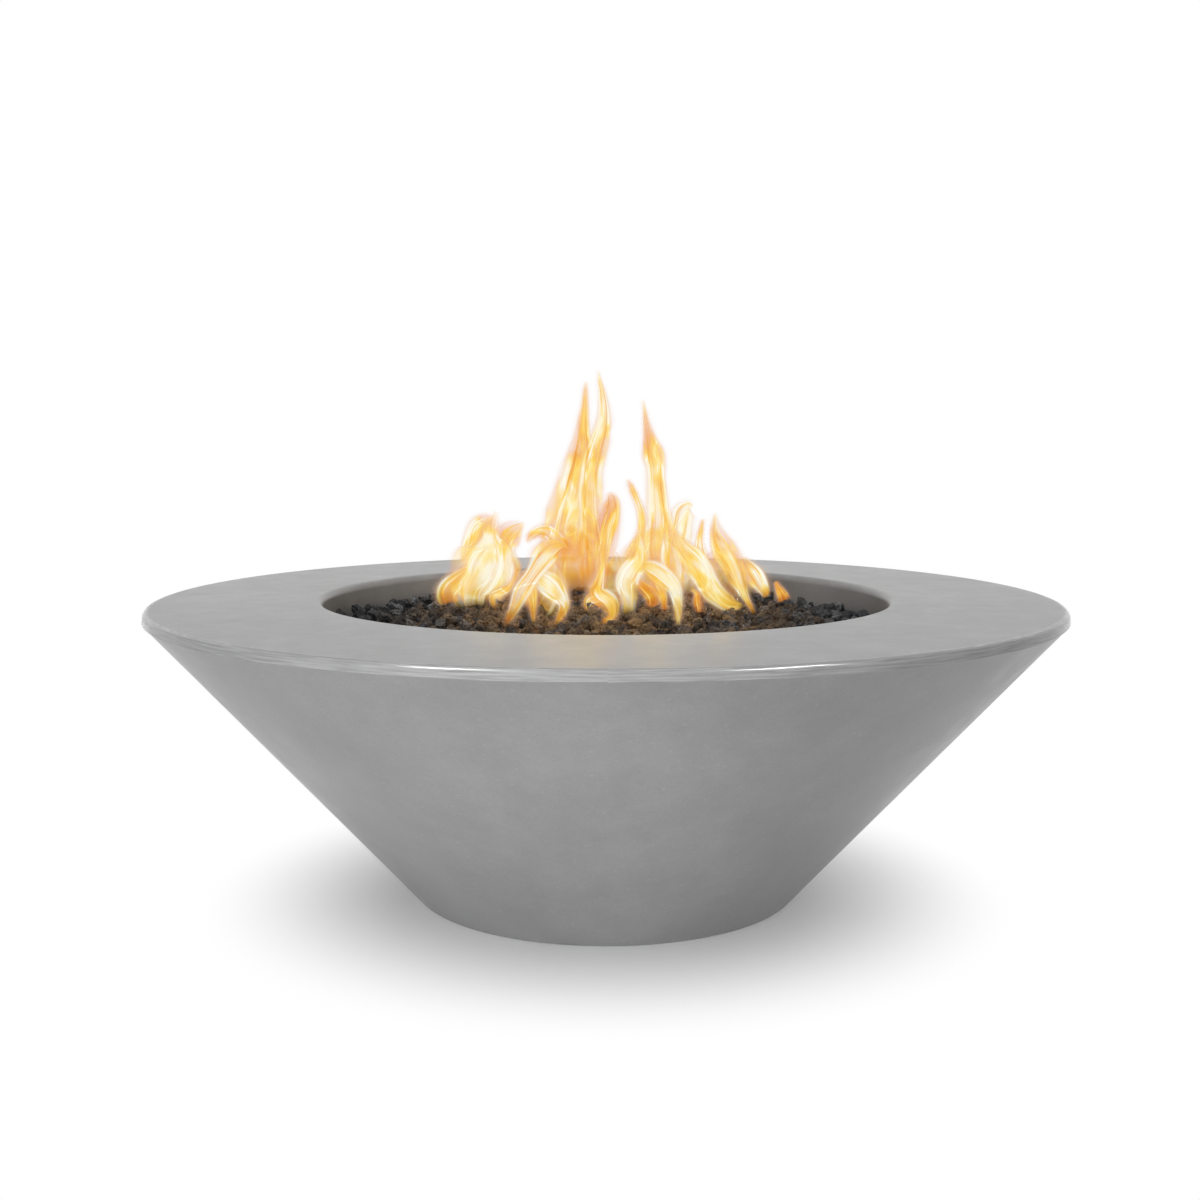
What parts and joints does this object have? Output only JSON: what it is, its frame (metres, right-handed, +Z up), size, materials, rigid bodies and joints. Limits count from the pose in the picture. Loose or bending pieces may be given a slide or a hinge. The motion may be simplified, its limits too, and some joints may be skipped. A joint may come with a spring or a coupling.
{
  "type": "concrete fire pit",
  "caption": "Round cone-shaped concrete gas fire pit with a wide flat ledge, a lava rock bed over a ring burner, and a key valve through the back wall.",
  "frame": {"origin": "on the floor, at the bowl's axis", "axes": "+Z up along the bowl's axis, the key valve at +Y, the picture's viewer at -Y"},
  "size_m": [1.219, 1.2192, 0.4063],
  "materials": {
    "concrete": "cast glass-fibre reinforced concrete, smooth and sealed",
    "lava_rock": "porous charcoal lava rock",
    "stainless": "pressed and drawn stainless steel",
    "black_iron": "black iron gas pipe and malleable fittings",
    "brass": "turned brass",
    "aluminium_tube": "drawn aluminium tube",
    "chrome_plate": "bright plated",
    "ptfe": "white PTFE",
    "gasket": "fibre gasket"
  },
  "bodies": {
    "fire_pit": {"concrete_bowl": "concrete", "burner_pan": "stainless", "outer_burner_ring": "stainless", "inner_burner_ring": "stainless", "inner_spokes": "stainless", "outer_spokes": "stainless", "burner_hub": "stainless", "burner_feet": "stainless", "foot_screws": "stainless", "foot_nuts": "stainless", "riser_nipple": "black_iron", "pan_gasket": "gasket", "pan_locknut": "black_iron", "riser_elbow": "black_iron", "burner_flare_fitting": "brass", "burner_flare_nut": "brass", "feed_tube": "aluminium_tube", "valve_flare_nut": "brass", "valve_flare_fitting": "brass", "valve_body": "brass", "valve_tailpiece": "brass", "valve_seats": "ptfe", "stem_packing": "ptfe", "packing_nut": "brass", "valve_sleeve": "brass", "sleeve_locknut": "brass", "escutcheon": "chrome_plate", "inlet_nipple": "black_iron", "upper_supply_elbow": "black_iron", "supply_pipe": "black_iron", "lower_supply_elbow": "black_iron", "drop_pipe": "black_iron", "inlet_coupling": "black_iron", "lava_rock_fill": "lava_rock", "lava_rocks": "lava_rock"},
    "valve_core": {"valve_ball": "chrome_plate", "valve_stem": "brass"},
    "valve_key": {"key_shaft": "chrome_plate", "key_handle": "chrome_plate"}
  },
  "joints": [
    {"name": "valve_turn", "type": "hinge", "parent": "fire_pit", "child": "valve_core", "pos_m": [0, 0.39365, 0.15], "axis": [0, 0.7466, -0.6652], "range_deg": [-90, 0]},
    {"name": "key_pull", "type": "slide", "parent": "valve_core", "child": "valve_key", "axis": [0, 0.7466, -0.6652], "range_m": [0, 0.075]}
  ]
}
